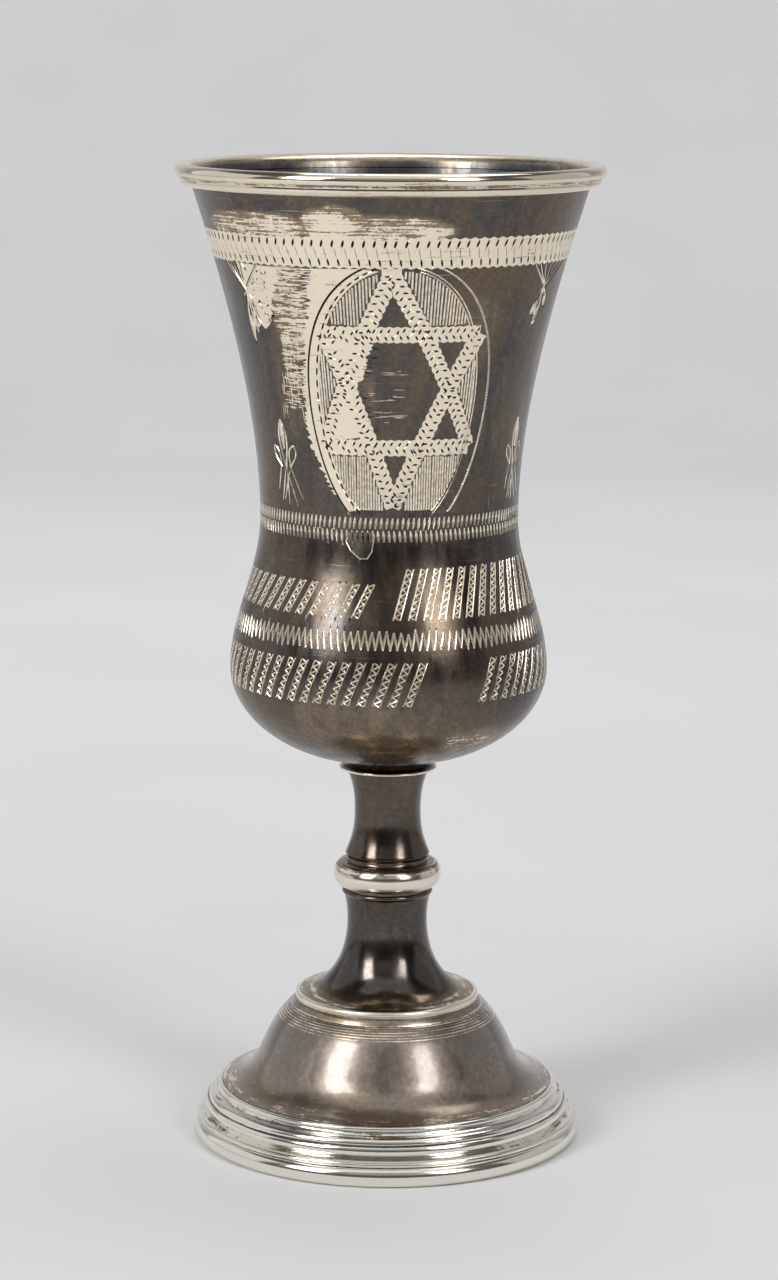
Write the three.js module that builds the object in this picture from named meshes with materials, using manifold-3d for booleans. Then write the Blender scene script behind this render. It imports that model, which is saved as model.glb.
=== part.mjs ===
// A small silver kiddush cup: a spun bowl with an applied rim, a turned stem with a ring knop
// and a spun, stepped foot. Millimetres, +Z up, origin at the centre of the foot's underside.
// Angles run round the cup in degrees: 0 is the front (-Y), positive towards +X.
import * as THREE from 'three';
import { mergeVertices } from 'three/addons/utils/BufferGeometryUtils.js';
import Module from 'manifold-3d';

// ---- driving dimensions ----
const HEIGHT = 135.4;
const FIT = 0.3; // clearance where one piece is soldered to the next

const BOWL_WALL = 0.8;
const BOWL_BASE_Z = 53.85;
const BOWL_EDGE_Z = HEIGHT - 1.35; // edge of the sheet, under the rim band
const BULGE = { radius: 21.85, z: 66.6 };
const WAIST = { radius: 17.65, z: 87.4 };
const FLARE_RADIUS = 27.45; // at the edge of the sheet
const SEAT_RADIUS = 5.4; // flat under the bowl

const LIP = { radius: 28.25, z: HEIGHT - 0.95, bead: 0.95 };
const RIM_REED = { radius: 27.6, z: HEIGHT - 2.2, bead: 0.85 };
const RIM_FOOT = { z: HEIGHT - 3.0, width: 0.25 };
const RIM_INSIDE = { radius: 26.4, drop: 0.6, edge: 0.4 }; // where it laps over the sheet's edge

const COLLAR = { radius: 6.8, bottom: 52.15, edge: 0.45, top: 53.55, topRadius: 5.3 };
const NECK = { radius: 4.58, z: 46.2, topRadius: 5.75, footRadius: 5.85, footZ: 40.15 };
const SCOTIA = { radius: 5.55, z: 39.5, halfHeight: 0.2 };
const KNOP = { radius: 7.5, z: 37.25, halfHeight: 1.8, endRadius: 6.1 };

const SOCKET = { radius: 6.2, top: 35.1 };
const SOCKET_LIP = { height: 0.6, floor: 1.5 };
const FOOT_NECK = { radius: 5.55, z: 30.6 };
const RIDGE = { radius: 12.35, z: 20.0, bead: 0.45 };
const DOME = { radius: 17.7, z: 12.0 }; // where it turns from the shoulder to the spread
const DOME_EDGE = { radius: 23.0, z: 7.6 };
const FOOT_BEAD = { radius: 23.2, z: 7.15, bead: 0.42 };
const STEP_TORUS = { radius: 24.35, z: 4.6, bead: 1.15 };
const FOOT_REED = { radius: 26.1, z: 3.0, bead: 0.35 };
const BASE_TORUS = { radius: 26.0, z: 1.3, halfWidth: 1.0, halfHeight: 1.3 };
const FOOT_WALL = 1.0;
const FOOT_SHOULDER = { radius: 23.6, z: 4.4 }; // inside the step torus
const TREAD = { outer: 26.0, inner: 24.8 }; // flat ring that the cup stands on

const BOWL_SIDES = 30;
const RIM_SIDES = 30;
const STEM_SIDES = 22;
const FOOT_SIDES = 28;

// ---- carving, cut into the bowl ----
const CUT = { depth: 0.32, lift: 0.7, width: 0.8 };
const ZIGZAG_BANDS = [
  { low: 123.4, high: 126.5, teeth: 20 },
  { low: 72.3, high: 74.8, teeth: 22 },
];
const LINED_BAND = [87.2, 88.9]; // heights of the two fine lines round the waist
const MEDALLION = { angle: 4, z: 105.3, halfAngle: 36.5, halfHeight: 18.8, top: 122.6, bottom: 90.3 };
const STAR = { tips: 0.5, left: -27, right: 33, top: 122, upper: 114.1, lower: 99.2, foot: 91.3, bar: 1.2 };
const SPRIGS = { angles: [-53, 64], z: 96.3, leaf: 10 };
const DROPS = { angles: [-57, 66], z: 118.2, leaf: 9 };
const STROKE_RUNS = [
  { from: -117, to: -7, low: 76.4, high: 80.8, strokes: 6 },
  { from: 3, to: 127, low: 76.2, high: 82.8, strokes: 7 },
  { from: -119, to: 12, low: 64.9, high: 70.7, strokes: 8 },
  { from: 35, to: 128, low: 64.9, high: 70.7, strokes: 6 },
];
const STROKE = { width: 1.0, lean: 6 };

const degrees = (value) => (value * Math.PI) / 180;
const point = (radius, z) => new THREE.Vector2(radius, z);

// ---- outlines: lists of (radius, z) points; a curve's two middle points are its handles ----
function curve(start, pullStart, pullEnd, end, steps) {
  return new THREE.CubicBezierCurve(start, pullStart, pullEnd, end).getPoints(steps);
}

function arc(radius, z, halfWidth, halfHeight, fromAngle, toAngle, steps) {
  const clockwise = toAngle < fromAngle;
  const ellipse = new THREE.EllipseCurve(
    radius, z, halfWidth, halfHeight, degrees(fromAngle), degrees(toAngle), clockwise);
  return ellipse.getPoints(steps);
}

function bead({ radius, z, bead: size }, fromAngle, toAngle, steps) {
  return arc(radius, z, size, size, fromAngle, toAngle, steps);
}

// moves every point of an outline sideways by a wall's thickness, to its left
function inset(outline, thickness) {
  return outline.map((here, i) => {
    const before = outline[Math.max(i - 1, 0)];
    const after = outline[Math.min(i + 1, outline.length - 1)];
    const along = after.clone().sub(before).normalize();
    return point(here.x - along.y * thickness, here.y + along.x * thickness);
  });
}

function bowlOutside() {
  const seat = point(SEAT_RADIUS, BOWL_BASE_Z);
  const bulge = point(BULGE.radius, BULGE.z);
  const waist = point(WAIST.radius, WAIST.z);
  const edge = point(FLARE_RADIUS, BOWL_EDGE_Z);
  const belly = curve(seat, point(12.4, 53.7), point(BULGE.radius, 58.9), bulge, 6);
  const shoulder = curve(bulge, point(BULGE.radius, 73.6), point(WAIST.radius, 80.2), waist, 4);
  const flare = curve(waist, point(WAIST.radius, 101), point(22.0, 117.5), edge, 6);
  return [...belly, ...shoulder.slice(1), ...flare.slice(1)];
}

const BOWL_OUTSIDE = bowlOutside();

// ---- solids ----
function tidy(geometry) {
  geometry.deleteAttribute('normal');
  geometry.deleteAttribute('uv');
  return mergeVertices(geometry, 1e-4);
}

// spins an outline about the vertical axis, starting at the front
function turned(outline, sides) {
  const geometry = new THREE.LatheGeometry(outline, sides);
  geometry.rotateX(Math.PI / 2);
  return tidy(geometry);
}

const wasm = await Module();
wasm.setup();

function solidFrom(geometry) {
  const mesh = new wasm.Mesh({
    numProp: 3,
    vertProperties: new Float32Array(geometry.attributes.position.array),
    triVerts: new Uint32Array(geometry.index.array),
  });
  return new wasm.Manifold(mesh);
}

function geometryFrom(solid) {
  const mesh = solid.getMesh();
  const geometry = new THREE.BufferGeometry();
  geometry.setAttribute('position', new THREE.BufferAttribute(mesh.vertProperties, 3));
  geometry.setIndex(new THREE.BufferAttribute(mesh.triVerts, 1));
  return geometry;
}

function bowlRadius(z) {
  const above = BOWL_OUTSIDE.findIndex((p, i) => i > 0 && p.y >= z);
  const low = BOWL_OUTSIDE[above - 1];
  const high = BOWL_OUTSIDE[above];
  return THREE.MathUtils.mapLinear(z, low.y, high.y, low.x, high.x);
}

function onBowl(angle, z, lift) {
  const radius = bowlRadius(z) + lift;
  return new THREE.Vector3(radius * Math.sin(degrees(angle)), -radius * Math.cos(degrees(angle)), z);
}

// A graver's cut with a V section that follows the bowl. Stops are [angle, z, width].
function cut(stops, closed = false) {
  const positions = [];
  const faces = [];
  stops.forEach(([angle, z, width], i) => {
    const last = stops.length - 1;
    const before = stops[closed && i === 0 ? last : Math.max(i - 1, 0)];
    const after = stops[closed && i === last ? 0 : Math.min(i + 1, last)];
    const ahead = onBowl(after[0], after[1], 0).sub(onBowl(before[0], before[1], 0)).normalize();
    const out = new THREE.Vector3(Math.sin(degrees(angle)), -Math.cos(degrees(angle)), 0);
    const side = ahead.clone().cross(out).normalize();
    const halfTop = (width / 2) * (1 + CUT.lift / CUT.depth);
    const top = onBowl(angle, z, CUT.lift);
    positions.push(...top.clone().addScaledVector(side, -halfTop).toArray());
    positions.push(...onBowl(angle, z, -CUT.depth).toArray());
    positions.push(...top.clone().addScaledVector(side, halfTop).toArray());
  });
  const spans = closed ? stops.length : stops.length - 1;
  for (let i = 0; i < spans; i += 1) {
    const here = i * 3;
    const next = ((i + 1) % stops.length) * 3;
    for (let k = 0; k < 3; k += 1) {
      const j = (k + 1) % 3;
      faces.push(here + k, next + k, here + j, here + j, next + k, next + j);
    }
  }
  if (!closed) {
    const end = spans * 3;
    faces.push(0, 1, 2, end + 2, end + 1, end);
  }
  const geometry = new THREE.BufferGeometry();
  geometry.setAttribute('position', new THREE.Float32BufferAttribute(positions, 3));
  geometry.setIndex(faces);
  return solidFrom(geometry);
}

function straight([fromAngle, fromZ], [toAngle, toZ], width, steps = 1) {
  const stops = [];
  for (let i = 0; i <= steps; i += 1) {
    const share = i / steps;
    stops.push([
      THREE.MathUtils.lerp(fromAngle, toAngle, share), THREE.MathUtils.lerp(fromZ, toZ, share), width]);
  }
  return cut(stops);
}

function zigzagBand({ low, high, teeth }) {
  const stops = [];
  for (let i = 0; i < teeth * 2; i += 1) {
    stops.push([(i * 180) / teeth, i % 2 ? high : low, CUT.width]);
  }
  return cut(stops, true);
}

function ovalLine(side) {
  const stops = [];
  const steps = 8;
  for (let i = 0; i <= steps; i += 1) {
    const z = THREE.MathUtils.lerp(MEDALLION.bottom, MEDALLION.top, i / steps);
    const rise = (z - MEDALLION.z) / MEDALLION.halfHeight;
    const reach = MEDALLION.halfAngle * Math.sqrt(1 - rise * rise);
    stops.push([MEDALLION.angle + side * reach, z, CUT.width]);
  }
  return cut(stops);
}

// the two triangles of the star, one pointing up and one down
function starBars() {
  const bars = [];
  for (const [tipZ, baseZ] of [[STAR.top, STAR.lower], [STAR.foot, STAR.upper]]) {
    const tip = [STAR.tips, tipZ];
    const left = [STAR.left, baseZ];
    const right = [STAR.right, baseZ];
    bars.push(straight(tip, left, STAR.bar, 4));
    bars.push(straight(left, right, STAR.bar, 6));
    bars.push(straight(right, tip, STAR.bar, 4));
  }
  return bars;
}

// a petal: a cut that swells and dies away
function petal(angle, z, lean, length) {
  const widths = [0.15, 1.5, 0.15];
  return cut(widths.map((width, i) => {
    const share = i / (widths.length - 1) - 0.5;
    return [angle + lean * share, z + length * share, width];
  }));
}

function sprig(angle) {
  const { z, leaf } = SPRIGS;
  const low = z - leaf * 0.25;
  return [
    petal(angle, z + leaf * 0.25, 2, leaf * 0.7),
    petal(angle - 9, z, -12, leaf * 0.3),
    petal(angle + 9, z, 12, leaf * 0.3),
    straight([angle - 7, low - 2.5], [angle + 5, low + 2.5], CUT.width),
    straight([angle + 7, low - 2.5], [angle - 5, low + 2.5], CUT.width),
  ];
}

function drop(angle) {
  const { z, leaf } = DROPS;
  return [
    petal(angle - 4, z, 9, leaf),
    petal(angle + 4, z, -9, leaf),
    straight([angle, z], [angle, z - leaf * 0.6], CUT.width),
  ];
}

// a run of plain slanted strokes
function strokeRun({ from, to, low, high, strokes }) {
  const cuts = [];
  for (let i = 0; i < strokes; i += 1) {
    const angle = THREE.MathUtils.lerp(from, to, i / strokes);
    cuts.push(straight([angle, low], [angle + STROKE.lean, high], STROKE.width));
  }
  return cuts;
}

function carving() {
  return [
    ...ZIGZAG_BANDS.map(zigzagBand),
    ...[-1, 1].map(ovalLine),
    ...starBars(),
    ...SPRIGS.angles.flatMap(sprig),
    ...DROPS.angles.flatMap(drop),
    ...STROKE_RUNS.flatMap(strokeRun),
  ];
}

// turns the fine lines round the waist into the outline of the bowl
function withRingLines(outline) {
  const notches = LINED_BAND.flatMap((z) => [
    point(bowlRadius(z - CUT.width / 2), z - CUT.width / 2),
    point(bowlRadius(z) - CUT.depth, z),
    point(bowlRadius(z + CUT.width / 2), z + CUT.width / 2),
  ]);
  const [lowest, highest] = [notches[0].y, notches[notches.length - 1].y];
  const below = outline.filter((p) => p.y < lowest);
  const above = outline.filter((p) => p.y > highest);
  return [...below, ...notches, ...above];
}

function bowlGeometry() {
  const outside = [point(0, BOWL_BASE_Z), ...withRingLines(BOWL_OUTSIDE)];
  const inside = inset(BOWL_OUTSIDE, BOWL_WALL);
  inside[inside.length - 1].y = BOWL_EDGE_Z; // the sheet is cut off level
  const floor = point(0, BOWL_BASE_Z + BOWL_WALL);
  const shell = solidFrom(turned([...outside, ...inside.reverse(), floor], BOWL_SIDES));
  return geometryFrom(shell.subtract(wasm.Manifold.union(carving())));
}

function rimGeometry() {
  const clearOfBowl = (z) => bowlRadius(z) + FIT;
  const foot = point(clearOfBowl(RIM_FOOT.z), RIM_FOOT.z);
  return turned([
    foot,
    point(foot.x + RIM_FOOT.width, foot.y),
    ...bead(RIM_REED, -55, 30, 2),
    ...bead(LIP, -35, 100, 4),
    point(RIM_INSIDE.radius + 0.1, HEIGHT - RIM_INSIDE.drop),
    point(RIM_INSIDE.radius, HEIGHT - RIM_INSIDE.drop - RIM_INSIDE.edge),
    point(clearOfBowl(BOWL_EDGE_Z), BOWL_EDGE_Z + FIT),
    foot.clone(),
  ], RIM_SIDES);
}

function stemGeometry() {
  const neckTop = point(NECK.topRadius, COLLAR.bottom);
  const neck = point(NECK.radius, NECK.z);
  const neckFoot = point(NECK.footRadius, NECK.footZ);
  const outline = [
    point(0, KNOP.z - KNOP.halfHeight),
    ...arc(KNOP.endRadius, KNOP.z, KNOP.radius - KNOP.endRadius, KNOP.halfHeight, -90, 90, 5),
    point(SCOTIA.radius, SCOTIA.z - SCOTIA.halfHeight),
    point(SCOTIA.radius, SCOTIA.z + SCOTIA.halfHeight),
    ...curve(neckFoot, point(5.0, 42.2), point(NECK.radius, 43.6), neck, 3),
    ...curve(neck, point(NECK.radius, 49.0), point(5.0, 50.4), neckTop, 3).slice(1),
    point(COLLAR.radius - COLLAR.edge / 2, COLLAR.bottom),
    point(COLLAR.radius, COLLAR.bottom + COLLAR.edge / 2),
    point(COLLAR.radius - COLLAR.edge / 4, COLLAR.bottom + COLLAR.edge),
    point(COLLAR.topRadius, COLLAR.top),
    point(0, COLLAR.top),
  ];
  return turned(outline, STEM_SIDES);
}

function footGeometry() {
  const socketBottom = point(SOCKET.radius, SOCKET.top - SOCKET_LIP.height);
  const neck = point(FOOT_NECK.radius, FOOT_NECK.z);
  const ridgeTop = point(RIDGE.radius - 0.4, RIDGE.z + 0.3);
  const domeTop = point(RIDGE.radius + 0.35, RIDGE.z - 0.4);
  const domeWaist = point(DOME.radius, DOME.z);
  const domeEdge = point(DOME_EDGE.radius, DOME_EDGE.z);
  const outside = [
    point(TREAD.outer, 0),
    ...arc(BASE_TORUS.radius, BASE_TORUS.z, BASE_TORUS.halfWidth, BASE_TORUS.halfHeight, -70, 65, 3),
    ...bead(FOOT_REED, -40, 80, 1),
    ...bead(STEP_TORUS, -55, 75, 3),
    ...bead(FOOT_BEAD, -60, 110, 2),
    ...curve(domeEdge, point(20.2, 8.2), point(18.7, 9.8), domeWaist, 3),
    ...curve(domeWaist, point(16.7, 14.4), point(15.4, 17.6), domeTop, 4).slice(1),
    ...bead(RIDGE, -50, 120, 2),
    ...curve(ridgeTop, point(8.4, 21.0), point(FOOT_NECK.radius, 25.0), neck, 4),
    ...curve(neck, point(FOOT_NECK.radius, 32.4), point(5.9, 33.4), socketBottom, 2).slice(1),
    point(SOCKET.radius, SOCKET.top),
    point(0, SOCKET.top),
  ];
  const boreRadius = FOOT_NECK.radius - FOOT_WALL;
  const boreEnd = point(boreRadius, FOOT_NECK.z - 1.6);
  const ridgeInside = point(RIDGE.radius - FOOT_WALL, RIDGE.z - FOOT_WALL * 1.4);
  const domeInside = point(DOME_EDGE.radius - FOOT_WALL / 2, DOME_EDGE.z - FOOT_WALL);
  const inside = [
    point(0, SOCKET.top - SOCKET_LIP.floor),
    point(boreRadius, SOCKET.top - SOCKET_LIP.floor),
    ...curve(boreEnd, point(boreRadius, 22.6), point(8.2, 20.8), ridgeInside, 2),
    ...curve(ridgeInside, point(16.4, 15.0), point(17.2, 9.0), domeInside, 3).slice(1),
    point(FOOT_SHOULDER.radius, FOOT_SHOULDER.z),
    point(TREAD.inner, FOOT_SHOULDER.z - 1.8),
    point(TREAD.inner, 0),
  ];
  return turned([...outside, ...inside, outside[0].clone()], FOOT_SIDES);
}

// ---- the object ----
function piece(name, geometry, color, roughness) {
  const material = new THREE.MeshStandardMaterial({ color, roughness, metalness: 1 });
  const mesh = new THREE.Mesh(geometry, material);
  mesh.name = name;
  return mesh;
}

const TARNISHED = 0x6a625a;
const WORN_SILVER = 0xc9c0ac;

const cup = new THREE.Group();
cup.add(piece('bowl', bowlGeometry(), TARNISHED, 0.32));
cup.add(piece('rim_band', rimGeometry(), WORN_SILVER, 0.2));
cup.add(piece('stem', stemGeometry(), TARNISHED, 0.22));
cup.add(piece('foot', footGeometry(), TARNISHED, 0.28));

export default cup;
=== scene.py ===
"""Dresses the silver kiddush cup: an engraved, tarnished bowl, a reeded rim, a turned stem and
a spun foot. Sizes here are millimetres, turned into metres as each mesh is made. Angles run
round the cup in degrees from the front (-Y), positive towards +X."""
import math

import bpy
import numpy as np
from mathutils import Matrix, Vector
from mathutils.geometry import delaunay_2d_cdt


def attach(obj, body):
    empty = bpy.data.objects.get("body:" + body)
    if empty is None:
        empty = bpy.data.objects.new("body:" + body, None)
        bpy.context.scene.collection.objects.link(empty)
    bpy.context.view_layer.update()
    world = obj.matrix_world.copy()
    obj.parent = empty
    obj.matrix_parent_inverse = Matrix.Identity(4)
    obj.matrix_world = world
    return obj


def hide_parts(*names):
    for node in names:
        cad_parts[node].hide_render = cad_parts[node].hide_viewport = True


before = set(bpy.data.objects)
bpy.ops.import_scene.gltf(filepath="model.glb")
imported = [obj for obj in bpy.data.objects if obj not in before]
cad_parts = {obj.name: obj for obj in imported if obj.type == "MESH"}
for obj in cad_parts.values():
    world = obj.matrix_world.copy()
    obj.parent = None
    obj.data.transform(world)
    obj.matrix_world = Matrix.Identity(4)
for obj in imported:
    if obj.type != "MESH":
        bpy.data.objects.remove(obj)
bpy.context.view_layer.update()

MM = 0.001
COLUMNS = 256  # facets round every turned surface
CREASE = math.radians(38)  # a sharper turn than this shows as an edge

# ---- sizes, in millimetres ----
HEIGHT = 135.4
BOWL_WALL = 0.8
BOWL_BASE_Z = 53.85
BOWL_EDGE_Z = HEIGHT - 1.35
SEAT_RADIUS = 5.4
BULGE = (21.85, 66.6)
WAIST = (17.65, 87.4)
FLARE = (27.45, BOWL_EDGE_Z)
ON_AXIS = 0.01  # how near the axis the turned outlines of the stem and the foot come


# ---- outlines: arrays of (radius, height) ----
def bezier(start, pull_start, pull_end, end, steps=24):
    """A cubic curve; the two middle points are its handles."""
    share = np.linspace(0, 1, steps + 1)[:, None]
    a, b, c, d = (np.array(p, float) for p in (start, pull_start, pull_end, end))
    rest = 1 - share
    return rest**3 * a + 3 * rest**2 * share * b + 3 * rest * share**2 * c + share**3 * d


def arc(centre, half_width, half_height, from_degrees, to_degrees, steps=14):
    turn = np.radians(np.linspace(from_degrees, to_degrees, steps + 1))
    return np.stack([centre[0] + half_width * np.cos(turn), centre[1] + half_height * np.sin(turn)], 1)


def bead(centre, radius, from_degrees, to_degrees, steps=12):
    return arc(centre, radius, radius, from_degrees, to_degrees, steps)


def joined(*sections):
    """Joins (points, share) sections. The share is how far the tarnish is rubbed away, once or for each
    point; in places it also holds painted light and shade.
    """
    points = np.concatenate([np.atleast_2d(np.array(p, float)) for p, _ in sections])
    wear_and_painted_light = np.concatenate([np.ones(len(np.atleast_2d(p))) * w for p, w in sections])
    return points, wear_and_painted_light


def inset(outline, thickness):
    """Moves an outline to its left by a wall's thickness."""
    along = np.gradient(outline, axis=0)
    along /= np.linalg.norm(along, axis=1)[:, None]
    return outline + thickness * np.stack([-along[:, 1], along[:, 0]], 1)


def bowl_outside():
    belly = bezier((SEAT_RADIUS, BOWL_BASE_Z), (12.4, 53.7), (BULGE[0], 58.9), BULGE, 60)
    shoulder = bezier(BULGE, (BULGE[0], 73.6), (WAIST[0], 80.2), WAIST, 40)
    flare = bezier(WAIST, (WAIST[0], 101), (22.0, 117.5), FLARE, 70)
    return np.concatenate([belly, shoulder[1:], flare[1:]])


# ---- meshes ----
def mesh_piece(name, points, faces, materials, slots=None, wear_and_painted_light=None, uv=None):
    """A mesh object from points in millimetres, with its rubbed share, which in places also holds painted
    light and shade, kept on each point.
    """
    mesh = bpy.data.meshes.new(name)
    mesh.from_pydata((np.asarray(points) * MM).tolist(), [], faces)
    for material in materials:
        mesh.materials.append(material)
    if slots is not None:
        mesh.polygons.foreach_set("material_index", np.asarray(slots, np.int32))
    if wear_and_painted_light is not None:
        shares = mesh.attributes.new("wear_and_painted_light", "FLOAT", "POINT").data
        shares.foreach_set("value", np.asarray(wear_and_painted_light, np.float32))
    if uv is not None:
        mesh.uv_layers.new(name="OFBake").uv.foreach_set("vector", np.asarray(uv, np.float32).ravel())
    mesh.update()
    piece = bpy.data.objects.new(name, mesh)
    bpy.context.scene.collection.objects.link(piece)
    return piece


def distance_along(outline):
    steps = np.linalg.norm(np.diff(outline, axis=0), axis=1)
    return np.concatenate([[0], np.cumsum(steps)])


def spun(radius, height, angle):
    """Points at (radius, angle, height) round the cup's axis."""
    height = np.broadcast_to(height, np.shape(angle))
    return np.stack([radius * np.sin(angle), -radius * np.cos(angle), height], -1)


def turned_piece(name, outline, wear_and_painted_light, materials, slots=None):
    """Spins a closed outline about the cup's axis. slots gives each span of the outline its material."""
    angles = np.linspace(-math.pi, math.pi, COLUMNS, endpoint=False)
    rows = len(outline)
    points = spun(outline[:, :1], outline[:, 1:], angles[None, :].repeat(rows, 0)).reshape(-1, 3)
    lower = np.arange(rows)[:, None] * COLUMNS
    upper = (np.arange(rows)[:, None] + 1) % rows * COLUMNS
    here, beside = np.arange(COLUMNS)[None, :], (np.arange(COLUMNS)[None, :] + 1) % COLUMNS
    faces = np.stack([lower + here, lower + beside, upper + beside, upper + here], -1).reshape(-1, 4)
    closed = np.concatenate([outline, outline[:1]])
    along = distance_along(closed) / distance_along(closed)[-1]
    left = np.broadcast_to(np.arange(COLUMNS)[None, :] / COLUMNS, (rows, COLUMNS))
    right = left + 1 / COLUMNS
    low, high = (np.broadcast_to(a[:, None], (rows, COLUMNS)) for a in (along[:-1], along[1:]))
    uv = np.stack([np.stack([left, low], -1), np.stack([right, low], -1),
                   np.stack([right, high], -1), np.stack([left, high], -1)], 2).reshape(-1, 2)
    face_slots = None if slots is None else np.repeat(slots, COLUMNS)
    piece = mesh_piece(name, points, faces.tolist(), materials, face_slots, np.repeat(wear_and_painted_light, COLUMNS), uv)
    piece.data.shade_smooth()
    piece.data.set_sharp_from_angle(angle=CREASE)
    return piece


# ---- shader helpers ----
def node(tree, kind, links=None, **settings):
    """Adds a shader node. links gives its inputs, each a plain value or another node's output."""
    made = tree.nodes.new(kind)
    for name, value in settings.items():
        setattr(made, name, value)
    for name, value in (links or {}).items():
        socket = made.inputs[name]
        if isinstance(value, bpy.types.NodeSocket):
            tree.links.new(value, socket)
        else:
            socket.default_value = value
    return made


def maths(tree, operation, first, second):
    return node(tree, "ShaderNodeMath", {0: first, 1: second}, operation=operation).outputs[0]


def ramp(tree, value, low, high, to_low=0.0, to_high=1.0):
    """Turns low..high smoothly into to_low..to_high."""
    links = {"Value": value, "From Min": low, "From Max": high, "To Min": to_low, "To Max": to_high}
    return node(tree, "ShaderNodeMapRange", links, interpolation_type="SMOOTHSTEP").outputs["Result"]


def mixed(tree, share, first, second):
    """Mixes two colours."""
    made = node(tree, "ShaderNodeMix", data_type="RGBA")
    for socket, value in ((made.inputs[0], share), (made.inputs[6], first), (made.inputs[7], second)):
        if isinstance(value, bpy.types.NodeSocket):
            tree.links.new(value, socket)
        else:
            socket.default_value = value
    return made.outputs[2]


def grain(tree, stretch, detail=4.0, roughness=0.6, distortion=0.0):
    """Noise in the object's own space. stretch is its waves per metre along X, Y and Z."""
    place = node(tree, "ShaderNodeTexCoord").outputs["Object"]
    scaled = node(tree, "ShaderNodeMapping", {"Vector": place, "Scale": stretch}).outputs["Vector"]
    links = {"Vector": scaled, "Scale": 1.0, "Detail": detail, "Roughness": roughness,
             "Distortion": distortion}
    return node(tree, "ShaderNodeTexNoise", links).outputs["Fac"]


def group(name, inputs, outputs):
    """An empty node group from its inputs (name to default) and outputs (name to socket type)."""
    tree = bpy.data.node_groups.new(name, "ShaderNodeTree")
    for label, value in inputs.items():
        kind = "NodeSocketColor" if isinstance(value, tuple) else "NodeSocketFloat"
        tree.interface.new_socket(label, in_out="INPUT", socket_type=kind).default_value = value
    for label, kind in outputs.items():
        tree.interface.new_socket(label, in_out="OUTPUT", socket_type=kind)
    return tree, tree.nodes.new("NodeGroupInput").outputs, tree.nodes.new("NodeGroupOutput").inputs


def placed(tree, effect, links):
    return node(tree, "ShaderNodeGroup", links, node_tree=effect).outputs


# ---- effects shared by the finishes ----
def rubbed_effect():
    """Breaks the rubbed share up into level streaks and specks; nothing shows where little is rubbed. Where
    the share holds painted light, the bare silver it shows is a painted highlight.
    """
    tree, given, made = group(
        "rubbed through tarnish", {"Wear and painted light": 0.0, "Breakup": 0.9, "Edge": 0.06},
        {"Rubbed": "NodeSocketFloat"})
    streaks = grain(tree, (150, 150, 4200), 3.0, 0.65)
    blots = grain(tree, (300, 300, 600), 4.0, 0.7)
    specks = grain(tree, (1900, 1900, 2600), 2.0, 0.7)
    coarse = maths(tree, "ADD", maths(tree, "MULTIPLY", streaks, 0.5), maths(tree, "MULTIPLY", blots, 0.3))
    mixed_noise = maths(tree, "ADD", coarse, maths(tree, "MULTIPLY", specks, 0.2))
    spread = ramp(tree, mixed_noise, 0.38, 0.62, -0.5, 0.5)
    reach = maths(tree, "MULTIPLY", given["Breakup"], ramp(tree, given["Wear and painted light"], 0.12, 0.48))
    pushed = maths(tree, "ADD", given["Wear and painted light"], maths(tree, "MULTIPLY", spread, reach))
    low = maths(tree, "SUBTRACT", 0.5, given["Edge"])
    high = maths(tree, "ADD", 0.5, given["Edge"])
    links = {"Value": pushed, "From Min": low, "From Max": high}
    share = node(tree, "ShaderNodeMapRange", links, interpolation_type="SMOOTHSTEP").outputs["Result"]
    tree.links.new(share, made["Rubbed"])
    return tree


def tarnish_effect():
    """Colour and roughness of the oxide: blue-black to brown clouds and runs, paler where it is thin and
    where the share holds painted light.
    """
    tree, given, made = group(
        "tarnish clouds",
        {"Dark": (0.1, 0.1, 0.1, 1), "Brown": (0.2, 0.15, 0.1, 1), "Thin": (0.3, 0.24, 0.18, 1),
         "Brownness": 0.5, "Wear and painted light": 0.0},
        {"Color": "NodeSocketColor", "Roughness": "NodeSocketFloat"})
    clouds = grain(tree, (60, 60, 45), 4.0, 0.6, 0.4)
    runs = grain(tree, (520, 520, 50), 3.0, 0.6)
    specks = grain(tree, (1500, 1500, 1500), 2.0, 0.6)
    both = maths(tree, "ADD", maths(tree, "MULTIPLY", clouds, 0.65), maths(tree, "MULTIPLY", runs, 0.35))
    shifted = maths(tree, "ADD", both, maths(tree, "SUBTRACT", given["Brownness"], 0.5))
    brown = ramp(tree, shifted, 0.36, 0.64)
    cloud = maths(tree, "MULTIPLY", maths(tree, "SUBTRACT", both, 0.5), 1.2)
    thinness = maths(tree, "SUBTRACT", given["Wear and painted light"], cloud)
    thin = maths(tree, "MULTIPLY", ramp(tree, thinness, 0.08, 0.42), 0.85)
    colour = mixed(tree, thin, mixed(tree, brown, given["Dark"], given["Brown"]), given["Thin"])
    lighter = ramp(tree, specks, 0.35, 0.75, 0.9, 1.2)
    scaled = node(tree, "ShaderNodeVectorMath", {0: colour}, operation="SCALE")
    tree.links.new(lighter, scaled.inputs["Scale"])
    tree.links.new(scaled.outputs[0], made["Color"])
    tree.links.new(ramp(tree, runs, 0.3, 0.7, 0.2, 0.32), made["Roughness"])
    return tree


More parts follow.
